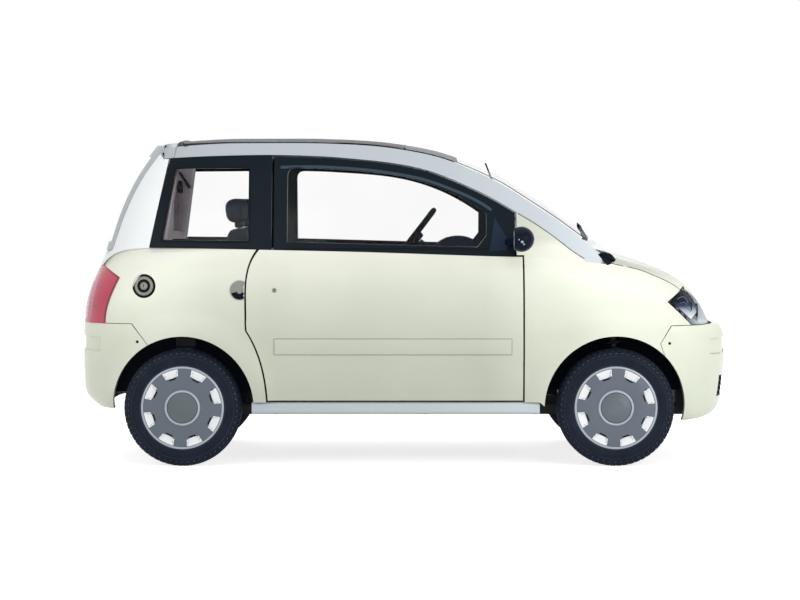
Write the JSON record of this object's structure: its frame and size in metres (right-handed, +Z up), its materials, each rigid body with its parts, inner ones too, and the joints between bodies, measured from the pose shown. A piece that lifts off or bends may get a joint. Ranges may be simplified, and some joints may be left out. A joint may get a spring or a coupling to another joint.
{
  "type": "microcar",
  "caption": "Two-seat city microcar with two side doors, a front bonnet, a rear tailgate and four small wheels with covers.",
  "frame": {"origin": "on the ground under the centre of the car's bounding box", "axes": "+X forwards, +Y to the car's left, +Z up"},
  "size_m": [2.96, 1.748, 1.4759],
  "materials": {
    "body_paint": "gloss",
    "silver_paint": "satin",
    "pale_silver_paint": "satin",
    "black_paint": "gloss",
    "black_plastic": "matte",
    "roof_paint": "gloss",
    "window_glass": "gloss",
    "lamp_clear": "gloss",
    "lamp_red": "gloss",
    "frame_steel": "satin",
    "cast_metal": "matte",
    "engine_metal": "matte",
    "exhaust_steel": "satin",
    "wheel_cover": "satin",
    "tyre_rubber": "matte",
    "seat_cloth": "matte",
    "trim_grey": "matte",
    "floor_composite": "matte"
  },
  "bodies": {
    "body": {"antenna": "black_plastic", "arch_liners": "black_plastic", "chassis_frame": "frame_steel", "dashboard": "trim_grey", "door_posts": "frame_steel", "engine": "engine_metal", "exhaust": "exhaust_steel", "floor_pan": "floor_composite", "front_bumper": "body_paint", "front_grille": "black_plastic", "front_suspension": "frame_steel", "front_wings": "body_paint", "fuel_cap": "black_plastic", "fuel_tank": "black_plastic", "headlamps": "lamp_clear", "rear_bumper": "body_paint", "rear_outriggers": "frame_steel", "rear_pillars": "pale_silver_paint", "rear_suspension": "frame_steel", "rear_wings": "body_paint", "roof_panel": "roof_paint", "roof_rails": "silver_paint", "scuttle_panel": "black_plastic", "seats": "seat_cloth", "side_windows": "window_glass", "sills": "silver_paint", "tail_lamps": "lamp_red", "window_pillars": "black_paint", "windscreen": "window_glass", "wiper": "black_plastic"},
    "door_right": {"door_right_panel": "body_paint", "door_right_frame": "black_paint", "door_right_glass": "window_glass", "door_right_mirror": "black_paint"},
    "steer_knuckle_right": {"knuckle_right": "cast_metal"},
    "wheel_front_right": {"tyre_front_right": "tyre_rubber", "rim_front_right": "wheel_cover"},
    "wheel_rear_right": {"tyre_rear_right": "tyre_rubber", "rim_rear_right": "wheel_cover"},
    "door_left": {"door_left_panel": "body_paint", "door_left_frame": "black_paint", "door_left_glass": "window_glass", "door_left_mirror": "black_paint"},
    "steer_knuckle_left": {"knuckle_left": "cast_metal"},
    "wheel_front_left": {"tyre_front_left": "tyre_rubber", "rim_front_left": "wheel_cover"},
    "wheel_rear_left": {"tyre_rear_left": "tyre_rubber", "rim_rear_left": "wheel_cover"},
    "bonnet_lid": {"bonnet": "body_paint"},
    "tailgate": {"tailgate_panel": "body_paint", "tailgate_frame": "silver_paint", "tailgate_glass": "window_glass"},
    "steering_wheel_body": {"steering_wheel": "black_plastic"}
  },
  "joints": [
    {"name": "steer_right", "type": "hinge", "parent": "body", "child": "steer_knuckle_right", "pos_m": [0.939, -0.52, 0.262], "axis": [0, 0, 1], "range_deg": [-30, 30]},
    {"name": "wheel_front_right_spin", "type": "hinge", "parent": "steer_knuckle_right", "child": "wheel_front_right", "pos_m": [0.939, -0.632, 0.262], "axis": [0, 1, 0], "continuous": true},
    {"name": "wheel_rear_right_spin", "type": "hinge", "parent": "body", "child": "wheel_rear_right", "pos_m": [-0.994, -0.632, 0.262], "axis": [0, 1, 0], "continuous": true},
    {"name": "door_right_hinge", "type": "hinge", "parent": "body", "child": "door_right", "pos_m": [0.478, -0.706, 0.62], "axis": [0, 0, 1], "range_deg": [0, 62]},
    {"name": "steer_left", "type": "hinge", "parent": "body", "child": "steer_knuckle_left", "pos_m": [0.939, 0.52, 0.262], "axis": [0, 0, 1], "range_deg": [-30, 30]},
    {"name": "wheel_front_left_spin", "type": "hinge", "parent": "steer_knuckle_left", "child": "wheel_front_left", "pos_m": [0.939, 0.632, 0.262], "axis": [0, 1, 0], "continuous": true},
    {"name": "wheel_rear_left_spin", "type": "hinge", "parent": "body", "child": "wheel_rear_left", "pos_m": [-0.994, 0.632, 0.262], "axis": [0, 1, 0], "continuous": true},
    {"name": "door_left_hinge", "type": "hinge", "parent": "body", "child": "door_left", "pos_m": [0.478, 0.706, 0.62], "axis": [0, 0, -1], "range_deg": [0, 62]},
    {"name": "bonnet_hinge", "type": "hinge", "parent": "body", "child": "bonnet_lid", "pos_m": [1.388, 0, 0.628], "axis": [0, 1, 0], "range_deg": [0, 60]},
    {"name": "tailgate_hinge", "type": "hinge", "parent": "body", "child": "tailgate", "pos_m": [-1.097, 0, 1.442], "axis": [0, 1, 0], "range_deg": [0, 75]},
    {"name": "steering_wheel_turn", "type": "hinge", "parent": "body", "child": "steering_wheel_body", "pos_m": [0.034, 0.3, 1.003], "axis": [-0.7955, 0, 0.606], "range_deg": [-480, 480]}
  ],
  "couplings": [
    {"joint": "steer_right", "follows": "steer_left", "ratio": 1},
    {"joint": "steering_wheel_turn", "follows": "steer_left", "ratio": 16}
  ]
}
